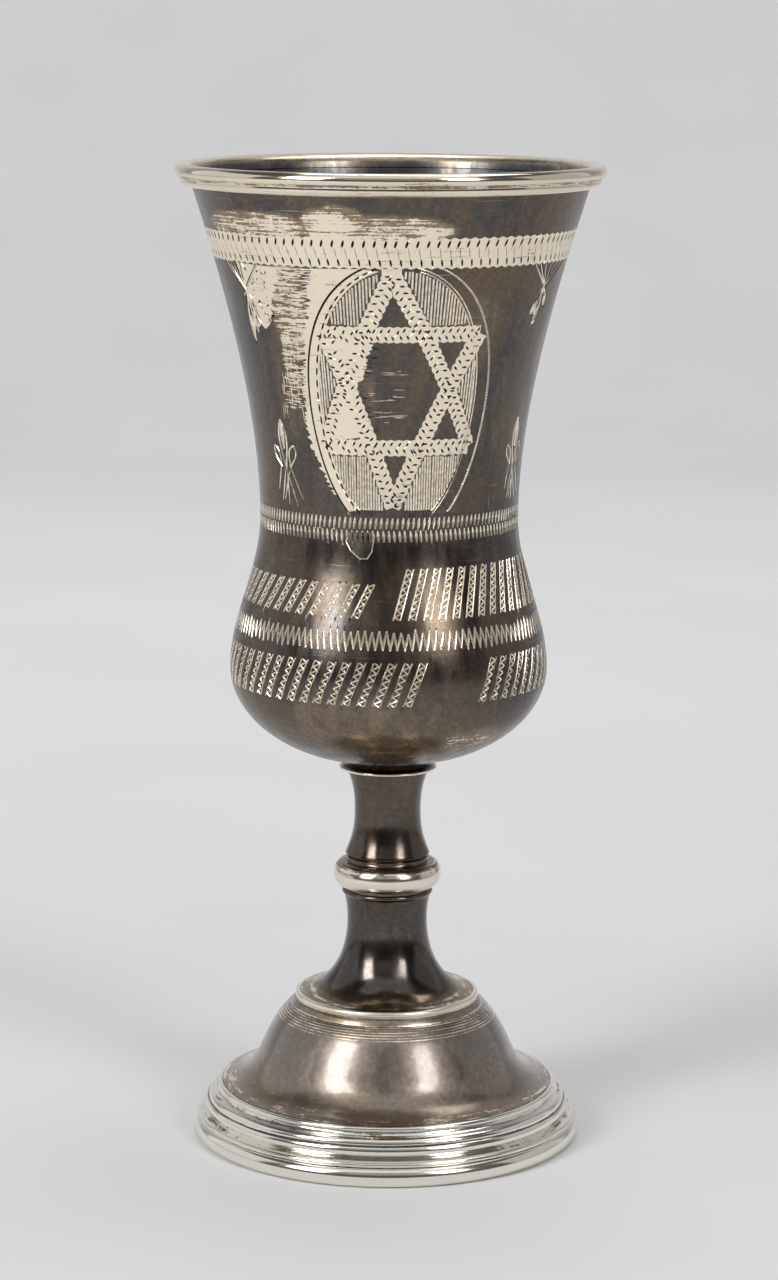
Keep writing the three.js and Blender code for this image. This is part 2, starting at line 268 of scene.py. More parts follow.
def scratches_effect():
    """Hairlines left by wiping: mostly level, some steep. Gives a mask and a height."""
    tree, given, made = group(
        "wiping hairlines", {"Amount": 0.5}, {"Hairline": "NodeSocketFloat", "Height": "NodeSocketFloat"})
    level = grain(tree, (60, 60, 7000), 2.0, 0.5)
    steep = grain(tree, (4200, 4200, 160), 2.0, 0.5)
    where = ramp(tree, grain(tree, (170, 170, 170), 3.0), 0.45, 0.62)
    level_line = ramp(tree, level, 0.66, 0.74)
    steep_line = maths(tree, "MULTIPLY", ramp(tree, steep, 0.68, 0.76), 0.6)
    lines = maths(tree, "MULTIPLY", maths(tree, "MAXIMUM", level_line, steep_line), where)
    amount = maths(tree, "MULTIPLY", lines, given["Amount"])
    tree.links.new(amount, made["Hairline"])
    pits = grain(tree, (2600, 2600, 2600), 2.0, 0.6)
    scored = maths(tree, "MULTIPLY", maths(tree, "ADD", level, steep), 0.35)
    tree.links.new(maths(tree, "ADD", scored, maths(tree, "MULTIPLY", pits, 0.6)), made["Height"])
    return tree


RUBBED = rubbed_effect()
TARNISH = tarnish_effect()
HAIRLINES = scratches_effect()

DARK_OXIDE = (0.080, 0.082, 0.088, 1)
BROWN_OXIDE = (0.158, 0.120, 0.086, 1)
THIN_OXIDE = (0.32, 0.24, 0.16, 1)
WORN_SILVER = (0.95, 0.84, 0.68, 1)
POLISHED_SILVER = (0.90, 0.87, 0.79, 1)
SCORE_DEPTH = 0.00004  # metres, how deep the wiping lines and pits look


def material(name):
    made = bpy.data.materials.new(name)
    made.use_nodes = True
    tree = made.node_tree
    return made, tree, tree.nodes["Principled BSDF"]


def silver(name, dark=DARK_OXIDE, brown=BROWN_OXIDE, thin=THIN_OXIDE, bright=WORN_SILVER, brownness=0.5,
           breakup=0.9, edge=0.06, hairlines=0.5, bright_roughness=0.3, dark_lift=0.0, wear_and_painted_light=None,
           relief=0.25, coat=0.0):
    """Silver with its tarnish rubbed away as far as the given share says, or else as the piece's own share
    values say; in places these shares hold painted light and shade.
    """
    made, tree, shader = material(name)
    if wear_and_painted_light is None:
        wear_and_painted_light = node(tree, "ShaderNodeAttribute", attribute_name="wear_and_painted_light").outputs["Fac"]
    rubbed = placed(tree, RUBBED, {"Wear and painted light": wear_and_painted_light, "Breakup": breakup, "Edge": edge})["Rubbed"]
    oxide = placed(tree, TARNISH, {"Dark": dark, "Brown": brown, "Thin": thin, "Brownness": brownness,
                                   "Wear and painted light": wear_and_painted_light})
    lines = placed(tree, HAIRLINES, {"Amount": hairlines})
    # bare silver where the tarnish is rubbed away, and also where the share paints highlights
    bare = maths(tree, "MAXIMUM", rubbed, maths(tree, "MULTIPLY", lines["Hairline"], 0.7))
    colour = mixed(tree, bare, oxide["Color"], bright)
    tree.links.new(colour, shader.inputs["Base Color"])
    shine = node(tree, "ShaderNodeMix", data_type="FLOAT")
    tree.links.new(bare, shine.inputs[0])
    tree.links.new(maths(tree, "ADD", oxide["Roughness"], dark_lift), shine.inputs[2])
    shine.inputs[3].default_value = bright_roughness
    tree.links.new(shine.outputs[0], shader.inputs["Roughness"])
    shader.inputs["Metallic"].default_value = 1.0
    shader.inputs["Coat Weight"].default_value = coat
    shader.inputs["Coat Roughness"].default_value = 0.13
    relief_links = {"Strength": relief, "Distance": SCORE_DEPTH, "Height": lines["Height"]}
    bump = node(tree, "ShaderNodeBump", relief_links)
    tree.links.new(bump.outputs["Normal"], shader.inputs["Normal"])
    return made


def cut_metal(name, colour, roughness):
    """The inside of a graver's cut."""
    made, tree, shader = material(name)
    fleck = ramp(tree, grain(tree, (1800, 1800, 1800), 2.0), 0.3, 0.7, 0.8, 1.15)
    scaled = node(tree, "ShaderNodeVectorMath", {0: colour[:3]}, operation="SCALE")
    tree.links.new(fleck, scaled.inputs["Scale"])
    tree.links.new(scaled.outputs[0], shader.inputs["Base Color"])
    rough = ramp(tree, fleck, 0.8, 1.15, roughness + 0.08, roughness - 0.05)
    tree.links.new(rough, shader.inputs["Roughness"])
    shader.inputs["Metallic"].default_value = 1.0
    return made


# ---- the bowl's wall unrolled: x is the distance round at FLAT_RADIUS, y the way up the wall ----
FLAT_RADIUS = 20.0
WALL = bowl_outside()
WALL_RUN = distance_along(WALL)
WALL_LOWEST = WALL[:, 1].argmin()
PLAIN, BRIGHT_CUT, DARK_CUT, RUBBED_GROUND, DRIED, INSIDE = range(6)  # the bowl's material slots


def run_at(z):
    return np.interp(z, WALL[WALL_LOWEST:, 1], WALL_RUN[WALL_LOWEST:])


def unrolled(stops):
    """(angle, height) stops as points on the unrolled wall."""
    stops = np.asarray(stops, float)
    return np.stack([np.radians(stops[:, 0]) * FLAT_RADIUS, run_at(stops[:, 1])], 1)


def wall_radius(run):
    return np.interp(run, WALL_RUN, WALL[:, 0])


def inside_polygon(points, polygon):
    x, y = points[:, 0], points[:, 1]
    within = np.zeros(len(points), bool)
    for (x0, y0), (x1, y1) in zip(polygon, np.roll(polygon, -1, 0)):
        crosses = (y0 > y) != (y1 > y)
        with np.errstate(divide="ignore", invalid="ignore"):
            within ^= crosses & (x < (x1 - x0) * (y - y0) / (y1 - y0) + x0)
    return within


class Engraving:
    """Marks on the unrolled wall. Later marks lie over earlier ones."""

    def __init__(self):
        self.points, self.edges, self.marks = [], [], []

    def _chain(self, chain, closed=False):
        start = len(self.points)
        self.points.extend(map(tuple, chain))
        self.edges.extend((start + i, start + i + 1) for i in range(len(chain) - 1))
        if closed:
            self.edges.append((start + len(chain) - 1, start))
        return start, start + len(chain) - 1

    def area(self, stops, slot):
        """A level area with a finish of its own, inside a closed outline of (angle, height)."""
        self.flat_area(unrolled(stops), slot)

    def flat_area(self, flat, slot):
        self._chain(flat, True)
        self.marks.append(("area", flat, slot))

    def cut(self, stops, widths, slot=BRIGHT_CUT, depth=0.45):
        """A V-shaped cut along (angle, height) stops. depth is its share of the width."""
        self.flat_cut(unrolled(stops), widths, slot, depth)

    def flat_cut(self, centre, widths, slot, depth=0.45):
        """The same along unrolled points."""
        sideways = wall_radius(centre[:, 1].mean()) / FLAT_RADIUS  # true millimetres for one unrolled
        true = centre * (sideways, 1)
        along = np.gradient(true, axis=0)
        along /= np.linalg.norm(along, axis=1)[:, None]
        half = np.broadcast_to(np.asarray(widths, float), len(true)) / 2
        out = np.stack([-along[:, 1], along[:, 0]], 1) * half[:, None]
        chains = [self._chain((true + shift) / (sideways, 1)) for shift in (out, 0 * out, -out)]
        for one, other in zip(chains, chains[1:]):
            self.edges.extend(zip(one, other))
        self.marks.append(("cut", true, half, sideways, slot, depth))

    def stroke(self, start, end, width, slot=BRIGHT_CUT, taper=0.35, depth=0.45):
        """A single graver stroke, thin at both ends."""
        start, end = np.array(start, float), np.array(end, float)
        self.cut([start, (start + end) / 2, end], [width * taper, width, width * taper], slot, depth)

    def read(self, flat):
        """The depth and the finish at unrolled points."""
        order = np.argsort(flat[:, 1], kind="stable")
        spots = flat[order]
        depth, slot = np.zeros(len(flat)), np.zeros(len(flat), int)
        for kind, *mark in self.marks:
            if kind == "area":
                polygon, finish = mark
                low, high = np.searchsorted(spots[:, 1], (polygon[:, 1].min(), polygon[:, 1].max()))
                within = inside_polygon(spots[low:high], polygon)
                slot[low:high][within] = finish
                continue
            true, half, sideways, finish, share = mark
            for i in range(len(true) - 1):
                reach = max(half[i], half[i + 1])
                ends = sorted((true[i, 1], true[i + 1, 1]))
                low, high = np.searchsorted(spots[:, 1], (ends[0] - reach, ends[1] + reach))
                away = spots[low:high] * (sideways, 1) - true[i]
                along = true[i + 1] - true[i]
                length = np.linalg.norm(along)
                t = away @ along / length**2
                across = np.abs(away @ np.array([-along[1], along[0]])) / length
                width = half[i] + (half[i + 1] - half[i]) * np.clip(t, 0, 1)
                within = (t > -0.001) & (t < 1.001) & (across <= width)
                deep = share * 2 * (width - across)[within]
                depth[low:high][within] = np.maximum(depth[low:high][within], deep)
                slot[low:high][within & (across < width * 0.98)] = finish
        back = np.empty(len(order), int)
        back[order] = np.arange(len(order))
        return depth[back], slot[back]


# ---- what is engraved: angles in degrees, heights and widths in millimetres ----
UPPER_BAND = (123.0, 126.9)
WAIST_ROWS = (88.8, 87.1)
LOWER_BAND = (72.3, 74.8)
OUTER_OVAL = (4.0, 105.3, 36.5, 18.8)  # angle, height, half angle, half height
INNER_OVAL = (3.0, 105.6, 31.5, 17.7)
OVAL_TOP, OVAL_FOOT = 122.9, 90.3
STAR = (((0.5, 122.0), (-27.0, 99.0), (34.0, 99.0)),  # two triangles, each tip, left and right
        ((1.5, 91.0), (-24.0, 114.2), (33.0, 114.2)))
BAR_WIDTH = 1.85
HATCH_PITCH = 1.13
SPRIG_ANGLES = (-49.5, 66.0)
SPRIG_Z = 95.8
DROPS = (  # where the stems cross, where they start below the band, and the leaves as (tip, width)
    ((-56.5, 119.2), (-66, -63.5, -61, -58.5, -56, -47),
     (((-57.5, 112.4), 1.3), ((-54.5, 113.6), 0.9), ((-52, 115), 0.6))),
    ((62.5, 119.8), (53, 56, 59.5, 64, 69, 74),
     (((57, 116.2), 1.3), ((60, 114.6), 1.1), ((66, 117), 0.7))),
)
# the left edge of the bare metal beside the medallion, from its foot up
FRINGE = ((-22.6, 92.2), (-27.3, 94.6), (-31.5, 97.4), (-34.0, 99.6), (-35.2, 102.4), (-34.6, 106.4),
          (-31.8, 112.6), (-30, 115.5), (-27.5, 119.3), (-25.6, 122.9))
DRIP = ((-18.5, 87.6), (-18.7, 86.3), (-16.5, 85.1), (-12.5, 84.1), (-9.3, 84.1), (-7.3, 85.1),
        (-6.8, 86.4), (-7, 87.6))
STROKE_RUNS = ((-117, -7, 76.4, 80.8, 18), (3, 127, 76.2, 82.8, 21),  # from, to, low, high, strokes
               (-119, 12, 64.9, 70.7, 24), (35, 128, 64.9, 70.7, 18))
STROKE_LEAN, STROKE_HALF_WIDTH = 6.0, 1.35

rng = np.random.default_rng(7)


def around(count, start=-180.0):
    """Angles evenly round the bowl and the step between them. The bands leave the last place free,
    where an engraver's round closes at the back."""
    step = 360 / count
    return start + step * (np.arange(count) + 0.5), step


def leaning(pen, angle, z, height, lean, width, **finish):
    """A short stroke centred on (angle, z), leaning by so many degrees of angle."""
    pen.stroke((angle - lean / 2, z - height / 2), (angle + lean / 2, z + height / 2), width, **finish)


def upper_band(pen):
    low, high = UPPER_BAND
    angles, step = around(112)
    ring = np.linspace(-180, 180, 225)
    scallop = 0.13 * np.cos(np.radians(ring * 112))
    edge = np.concatenate([np.stack([ring, low - scallop], 1), np.stack([ring, high + scallop], 1)[::-1]])
    pen.area(edge, RUBBED_GROUND)
    for angle in angles[:-1]:
        jitter = rng.normal(0, 0.12, 2)
        leaning(pen, angle + jitter[0], high - 0.75, 0.85, 0.55, 0.36, slot=DARK_CUT, taper=0.6)
        leaning(pen, angle + step / 2 + jitter[1], low + 0.72, 0.85, -0.35, 0.30, slot=DARK_CUT, taper=0.6)
        leaning(pen, angle + step * 0.25 + jitter[0], (low + high) / 2, 1.5, -0.7, 0.09, slot=DARK_CUT)


def waist_rows(pen):
    angles, step = around(156)
    for row, z in enumerate(WAIST_ROWS):
        for angle in angles + row * step / 2:
            if angle < 179:
                leaning(pen, angle + rng.normal(0, 0.1), z, 1.55, (0.6, -0.4)[row], 0.4, taper=0.4)


def lower_band(pen):
    low, high = LOWER_BAND
    angles, step = around(134)
    for angle in angles[:-1]:
        top, foot = high + rng.normal(0, 0.15), low + rng.normal(0, 0.15)
        pen.stroke((angle - step * 0.27, foot), (angle + step * 0.2, top), 0.32, taper=0.5)
        pen.stroke((angle + step * 0.26, top), (angle + step * 0.7, foot), 0.32, taper=0.5)


def oval_at(oval, turn):
    angle, z, half_angle, half_height = oval
    turn = np.radians(turn)
    return np.stack([angle + half_angle * np.cos(turn), z + half_height * np.sin(turn)], -1)


def oval_side(oval, side, shrink=0.0, steps=44):
    """One side of an oval, cut short by the bands above and below; side is 1 on the right."""
    angle, z, half_angle, half_height = oval
    oval = (angle, z, half_angle - shrink, half_height - shrink * 0.35)
    top = math.degrees(math.asin((OVAL_TOP - z) / half_height))
    foot = math.degrees(math.asin((OVAL_FOOT - z) / half_height))
    turn = np.linspace(foot, top, steps)
    return oval_at(oval, turn if side > 0 else 180 - turn)


def within_star(angle, z, margin):
    """Whether a point lies in either triangle of the star, widened by a margin."""
    for tip, left, right in STAR:
        share = (z - left[1]) / (tip[1] - left[1])
        side = margin * 3.4
        left_edge = left[0] + (tip[0] - left[0]) * share - side
        right_edge = right[0] + (tip[0] - right[0]) * share + side
        if left_edge < angle < right_edge and share > -margin / 22:
            return True
    return False


def hatching(pen):
    """Upright lines in the six lunes between the star and the inner oval."""
    angle0, z0, half_angle, half_height = INNER_OVAL
    for angle in np.arange(angle0 - half_angle + 1.6, angle0 + half_angle - 1.0, HATCH_PITCH):
        reach = half_height * math.sqrt(1 - ((angle - angle0) / half_angle) ** 2) - 0.5
        low, high = max(z0 - reach, OVAL_FOOT + 0.3), min(z0 + reach, OVAL_TOP - 0.2)
        heights = np.arange(low, high, 0.2)
        free = np.array([not within_star(angle, z, BAR_WIDTH / 2 + 0.15) for z in heights])
        turns = np.flatnonzero(np.diff(np.concatenate([[False], free, [False]]).astype(int)))
        for start, stop in turns.reshape(-1, 2):
            if stop - start > 5:
                ends = heights[start], heights[stop - 1]
                pen.cut([(angle, ends[0]), (angle + rng.normal(0, 0.08), ends[1])], 0.25, depth=0.3)


def bar_outline(start, end, width, scallops=0.22):
    """A bar's outline, scalloped by the graver's rocking."""
    ends = unrolled([start, end])
    sideways = wall_radius(ends[:, 1].mean()) / FLAT_RADIUS
    true = ends * (sideways, 1)
    length = np.linalg.norm(true[1] - true[0])
    along = (true[1] - true[0]) / length
    out = np.array([-along[1], along[0]])
    share = np.linspace(0, 1, max(int(length / 0.26), 8))
    reach = width / 2 + scallops * np.abs(np.sin(share * length * math.pi / 1.05))
    one = true[0] + share[:, None] * length * along + reach[:, None] * out
    other = true[0] + share[:, None] * length * along - reach[:, None] * out
    return np.concatenate([one, other[::-1]]) / (sideways, 1), (true, sideways, along, out, length)


def ragged(stops, reach, pitch=0.3):
    """A line of (angle, height) stops broken into steps that jump in angle by up to reach degrees."""
    stops = np.array(stops, float)
    heights = np.arange(0, np.abs(np.diff(stops[:, 1])).sum(), pitch)
    walked = np.concatenate([[0], np.cumsum(np.abs(np.diff(stops[:, 1])))])
    angles = np.interp(heights, walked, stops[:, 0]) + rng.uniform(-reach, reach, len(heights))
    return np.stack([angles, np.interp(heights, walked, stops[:, 1])], 1)


def star(pen):
    """Six scalloped bars with two rows of rocked marks in each, on a ground rubbed bare on the left."""
    hollow_edge = ragged(((-5.8, 112.9), (-8.5, 110.5), (-12.5, 106.6), (-12, 104), (-10.5, 102),
                          (-6.8, 100.4)), 1.1)
    pen.area(np.concatenate([hollow_edge, [(-26, 99.6), (-18.5, 106.6), (-23, 113.6)]]), RUBBED_GROUND)
    top = ((-2.5, 119.8), (4.0, 119.8), (3.5, 122.95), (-2.8, 122.95))
    pen.area(top, RUBBED_GROUND)
    for _ in range(34):
        z = rng.uniform(101, 112.5)
        angle = np.interp(z, (100.4, 106.6, 113), (-6.8, -12.5, -5.5)) + rng.uniform(-1.5, 0.8)
        pen.stroke((angle, z), (angle + rng.uniform(1.5, 4), z + rng.normal(0, 0.03)), 0.12, DARK_CUT)
    for _ in range(26):
        z = rng.choice((103.4, 105.9, 109.3)) + rng.normal(0, 0.5)
        angle = rng.uniform(-9, 3)
        pen.stroke((angle, z), (angle + rng.uniform(1.5, 6), z + rng.normal(0, 0.03)), 0.11)
    bars = []
    for tip, left, right in STAR:
        for start, end in ((left, right), (tip, left), (tip, right)):
            flat, frame_of_bar = bar_outline(start, end, BAR_WIDTH)
            pen.flat_area(flat, RUBBED_GROUND)
            bars.append(frame_of_bar)
    for true, sideways, along, out, length in bars:
        count = int(length / 1.02)
        for i in range(count):
            for row in (-1, 1):
                share = (i + 0.5 + 0.22 * row) / count
                middle = true[0] + along * length * share + out * row * 0.46
                middle += rng.normal(0, 0.17 if middle[0] < -2.4 else 0.06, 2)
                lean = out * 0.26 + along * row * 0.14
                stops = np.stack([middle - lean, middle, middle + lean]) / (sideways, 1)
                pen.flat_cut(stops, [0.14, 0.3, 0.14], DARK_CUT)


def scratches(pen):
    """Level polishing scratches left of the medallion, thickest by the band and thinning downwards."""
    edge_z, edge_angle = [z for _, z in FRINGE], [angle for angle, _ in FRINGE]
    for _ in range(300):
        z = 122.7 - 19 * rng.uniform() ** 1.25
        far = rng.uniform(0, 15 if z > 114 else 11)
        start = np.interp(z, edge_z, edge_angle) - far
        pen.stroke((start, z), (start + rng.uniform(1.5, 5.5), z + rng.normal(0, 0.04)),
                   rng.uniform(0.12, 0.24), RUBBED_GROUND, taper=0.5, depth=0.1)
    for _ in range(40):
        z = rng.uniform(104, 116)
        angle = np.interp(z, edge_z, edge_angle) - rng.uniform(1, 12)
        end = (angle + rng.normal(0, 0.4), z - rng.uniform(1, 3))
        pen.stroke((angle, z), end, 0.11, RUBBED_GROUND, depth=0.1)


def medallion(pen):
    left_outer = oval_side(OUTER_OVAL, -1)
    fringe = ragged([(angle - 0.4, z) for angle, z in FRINGE], 1.3, 0.2)
    beside = left_outer[np.searchsorted(left_outer[:, 1], FRINGE[0][1]):]
    pen.area(np.concatenate([fringe, beside[::-1]]), RUBBED_GROUND)
    ring_inside = oval_side(INNER_OVAL, -1, 0.9)
    pen.area(np.concatenate([left_outer, ring_inside[::-1]]), RUBBED_GROUND)
    hatching(pen)
    star(pen)
    pen.cut(left_outer, 0.27, DARK_CUT)
    dashes = oval_side(INNER_OVAL, -1, -0.2, steps=130)
    for i in range(0, len(dashes) - 3, 5):
        pen.stroke(dashes[i], dashes[i + 3], 0.27, DARK_CUT, taper=0.7)
    pen.cut(oval_side(INNER_OVAL, 1, -0.2), 0.18)
    pen.cut(oval_side(INNER_OVAL, 1, 0.9), 0.16)
    links = oval_side(OUTER_OVAL, 1, steps=90)
    for start, end in zip(links, links[1:]):
        for side in (-0.5, 0.5):
            pen.stroke(start + (side, 0), end - (side, 0), 0.14, taper=0.6)


def at_motif(angle, z, x, y):
    """A point x, y millimetres from a motif's middle."""
    z = z + y
    return angle + math.degrees(x / np.interp(z, WALL[WALL_LOWEST:, 1], WALL[WALL_LOWEST:, 0])), z


def loop_cut(pen, place, foot, tip, width, line=0.2, slot=BRIGHT_CUT):
    """A petal drawn as a closed loop from its foot to its tip and back."""
    foot, tip = np.array(foot, float), np.array(tip, float)
    along = tip - foot
    out = np.array([-along[1], along[0]]) / np.linalg.norm(along)
    share = np.linspace(0, 1, 10)
    swell = width / 2 * np.sin(math.pi * share**1.5) ** 0.8
    for side in (-1, 1):
        line_points = foot + share[:, None] * along + side * swell[:, None] * out
        pen.cut([place(*p) for p in line_points], line, slot)


def sprig(pen, angle):
    """Three petals over a spread of six stems."""
    def place(x, y):
        return at_motif(angle, SPRIG_Z, x, y)

    loop_cut(pen, place, (0, -0.6), (-0.3, 6.2), 1.5, 0.28)
    pen.stroke(place(-0.1, 2.2), place(-0.3, 6.0), 0.85, taper=0.5)
    loop_cut(pen, place, (-0.9, -0.2), (-2.2, 2.6), 1.0, 0.24)
    loop_cut(pen, place, (0.9, -0.2), (1.8, 2.8), 1.3, 0.24)
    stems = (((-1.1, -0.2), (-1.9, -3.4)), ((-0.2, -0.6), (-1.1, -4.8)), ((0.1, -0.6), (0.3, -5.2)),
             ((0.9, -0.2), (2.9, -4.4)), ((0.2, -1.0), (1.9, -5.3)), ((0.6, -0.8), (-0.6, -4.6)))
    for top, foot in stems:
        pen.stroke(place(*top), place(*foot), 0.28)


def drop(pen, crossing, starts, leaves):
    """A hanging spray: thin stems from the band to a crossing, and pointed leaves below it."""
    for finish, more in ((DARK_CUT, 0.22), (BRIGHT_CUT, 0.0)):
        for start in starts:
            end = (crossing[0] + (crossing[0] - start) * 0.25, crossing[1] - 0.9)
            pen.stroke((start, UPPER_BAND[0]), end, 0.27 + more, finish, taper=0.6)
        for tip, width in leaves:
            loop_cut(pen, lambda angle, z: (angle, z), crossing, tip, width * 1.6, 0.27 + more, finish)
            if finish == BRIGHT_CUT:
                pen.stroke((np.array(crossing) + tip) / 2, tip, width * 0.55)


def worn_by_drop(pen):
    """The bare patch beside the left spray, flecked with tarnish left in its dents."""
    left = ragged(((-58, 122.9), (-56, 119), (-55.5, 114.7)), 0.4)
    foot = [(-53.5, 114.3), (-51.5, 114.8), (-49.5, 114.2), (-47.5, 114.7)]
    right = ragged(((-46, 114.9), (-43, 117.5), (-41.5, 119.5), (-37, 122.9)), 1.4)
    pen.area(np.concatenate([left, foot, right]), RUBBED_GROUND)
    for _ in range(30):
        angle, z = rng.uniform(-55, -44), rng.uniform(115, 122.3)
        height, lean, width = rng.uniform(0.1, 0.5), rng.normal(0, 0.8), rng.uniform(0.15, 0.35)
        leaning(pen, angle, z, height, lean, width, slot=DARK_CUT)


def drip(pen):
    """The dried run below the medallion, with its rim."""
    pen.area(DRIP, DRIED)
    pen.cut(DRIP, 0.16)


def stroke_runs(pen):
    """Runs of slanted bars, each two fine lines with a rocked line between them."""
    for start, stop, low, high, strokes in STROKE_RUNS:
        for i in range(strokes):
            foot = start + (stop - start) * i / strokes
            top = foot + STROKE_LEAN
            for side in (-STROKE_HALF_WIDTH, STROKE_HALF_WIDTH):
                pen.cut([(foot + side, low), (top + side, high)], 0.2)
            rocks = round((high - low) / 0.44)
            for k in range(rocks):
                share = np.array([k, k + 1]) / rocks
                swing = STROKE_HALF_WIDTH * np.array([-0.8, 0.8]) * (1 if k % 2 else -1)
                angles = foot + STROKE_LEAN * share + swing
                heights = low + (high - low) * share
                pen.stroke((angles[0], heights[0]), (angles[1], heights[1]), 0.24, taper=0.6)


def engraving():
    pen = Engraving()
    upper_band(pen)
    for angle in SPRIG_ANGLES:
        sprig(pen, angle)
    worn_by_drop(pen)
    for spray in DROPS:
        drop(pen, *spray)
    scratches(pen)
    medallion(pen)
    waist_rows(pen)
    drip(pen)
    lower_band(pen)
    stroke_runs(pen)
    return pen


# Patches paler than the tarnish round them, most rubbed, two painted highlights: angle, height, half angle,
# half height, how far the tarnish is rubbed away
RUBBED_AND_HIGHLIGHT_PATCHES = (
    (-46, 128.0, 24, 2.0, 0.57), (-2, 127.9, 22, 1.9, 0.55), (-17, 128.4, 10, 2.7, 0.8),
    (-37, 117.5, 9, 8, 0.4), (-42, 108, 8, 9, 0.2), (33, 117, 14, 8, 0.22), (-9, 106, 6, 6, 0.12),
    # (-34, 80) and (14, 79.5), on the shoulder below the waist, are painted highlights where the two
    # softboxes shine; (-5, 61), (6, 58) and (36, 59) make the belly paler low down
    (60, 102, 16, 10, 0.14), (-34, 80, 10, 4.5, 0.2), (14, 79.5, 10, 4.5, 0.2), (-5, 61, 50, 5, 0.21),
    (6, 58, 22, 2.5, 0.3), (36, 59, 20, 2.2, 0.33), (148, 114, 34, 7, 0.3), (-140, 103, 40, 9, 0.2),
    (120, 127.8, 26, 1.8, 0.5),
)


def rubbed_and_highlight_share(angle, z):
    # bare silver for the rubbed places and for the painted highlights on the shoulder
    share = np.full(len(angle), 0.02)
    for angle0, z0, half_angle, half_height, strength in RUBBED_AND_HIGHLIGHT_PATCHES:
        away = (angle - angle0 + 180) % 360 - 180
        reach = (away / half_angle) ** 2 + ((z - z0) / half_height) ** 2
        share = np.maximum(share, strength * np.clip(1.35 - reach, 0, 1) ** 0.7)
    return share


# ---- the bowl ----
def wall_normals(run):
    """Outward normals of the wall as (radial, upward) at each distance up it."""
    along = np.gradient(WALL, WALL_RUN, axis=0)
    radial, upward = np.interp(run, WALL_RUN, along[:, 1]), np.interp(run, WALL_RUN, -along[:, 0])
    return np.stack([radial, upward], 1) / np.hypot(radial, upward)[:, None]


def unrolled_grid():
    """An even net of points over the whole unrolled wall."""
    half = math.pi * FLAT_RADIUS
    across = np.linspace(-half, half, COLUMNS + 1)
    rows = np.linspace(0, WALL_RUN[-1], 96)
    return np.stack(np.meshgrid(across, rows), -1).reshape(-1, 2)


def engraved_wall(pen):
    """The outer wall triangulated round every mark, with each point's cut depth and each face's slot."""
    grid = unrolled_grid()
    half = math.pi * FLAT_RADIUS
    marks = np.array(pen.points)
    shift = len(grid)
    corners = [Vector(p) for p in np.concatenate([grid, marks]).tolist()]
    edges = [(a + shift, b + shift) for a, b in pen.edges]
    found = delaunay_2d_cdt(corners, edges, [], 0, 1e-4)
    flat = np.array([tuple(p) for p in found[0]])
    flat[:, 0] = flat[:, 0].clip(-half, half)
    triangles = np.array(found[2])
    on_join = np.abs(flat[:, 0]) > half - 1e-3
    triangles = triangles[~on_join[triangles].all(1)]
    depth, _ = pen.read(flat)
    _, slots = pen.read(flat[triangles].mean(1))
    depth[np.abs(flat[:, 0]) > half - 0.01] = 0.0
    run, angle = flat[:, 1], flat[:, 0] / FLAT_RADIUS
    normal = wall_normals(run)
    radius = wall_radius(run) - normal[:, 0] * depth
    height = np.interp(run, WALL_RUN, WALL[:, 1]) - normal[:, 1] * depth
    points = spun(radius, height, angle)
    normals = spun(normal[:, 0], normal[:, 1], angle)
    wear_and_painted_light = rubbed_and_highlight_share(np.degrees(angle), height)
    uv = np.stack([(angle / math.pi + 1) / 2, run / WALL_RUN[-1] * 0.72], 1)
    return points, normals, wear_and_painted_light, uv, depth, triangles, slots


def net(outline, normals_out):
    """A plain turned surface from an outline and its (radial, upward) normals, open at both ends."""
    angles = np.linspace(-math.pi, math.pi, COLUMNS + 1)
    rows = len(outline)
    turn = angles[None, :].repeat(rows, 0)
    points = spun(outline[:, :1], outline[:, 1:], turn).reshape(-1, 3)
    normals = spun(normals_out[:, :1], normals_out[:, 1:], turn).reshape(-1, 3)
    along = distance_along(outline) / distance_along(outline)[-1]
    uv = np.stack(np.meshgrid((angles / math.pi + 1) / 2, 0.74 + 0.26 * along), -1).reshape(-1, 2)
    start = np.arange(rows - 1)[:, None] * (COLUMNS + 1) + np.arange(COLUMNS)[None, :]
    low, high = start.ravel(), start.ravel() + COLUMNS + 1
    triangles = np.concatenate([np.stack([low, low + 1, high + 1], 1), np.stack([low, high + 1, high], 1)])
    return points, normals, uv, triangles


def inner_wall():
    """The outline of the bowl's inside, from its lip down to its floor, and its normals."""
    inside = inset(WALL, BOWL_WALL)
    inside[-1, 1] = BOWL_EDGE_Z
    inside = inside[inside[:, 0] > 0][::-1][::3]
    along = np.gradient(inside, axis=0)
    normals = np.stack([along[:, 1], -along[:, 0]], 1) / np.linalg.norm(along, axis=1)[:, None]
    return inside, normals


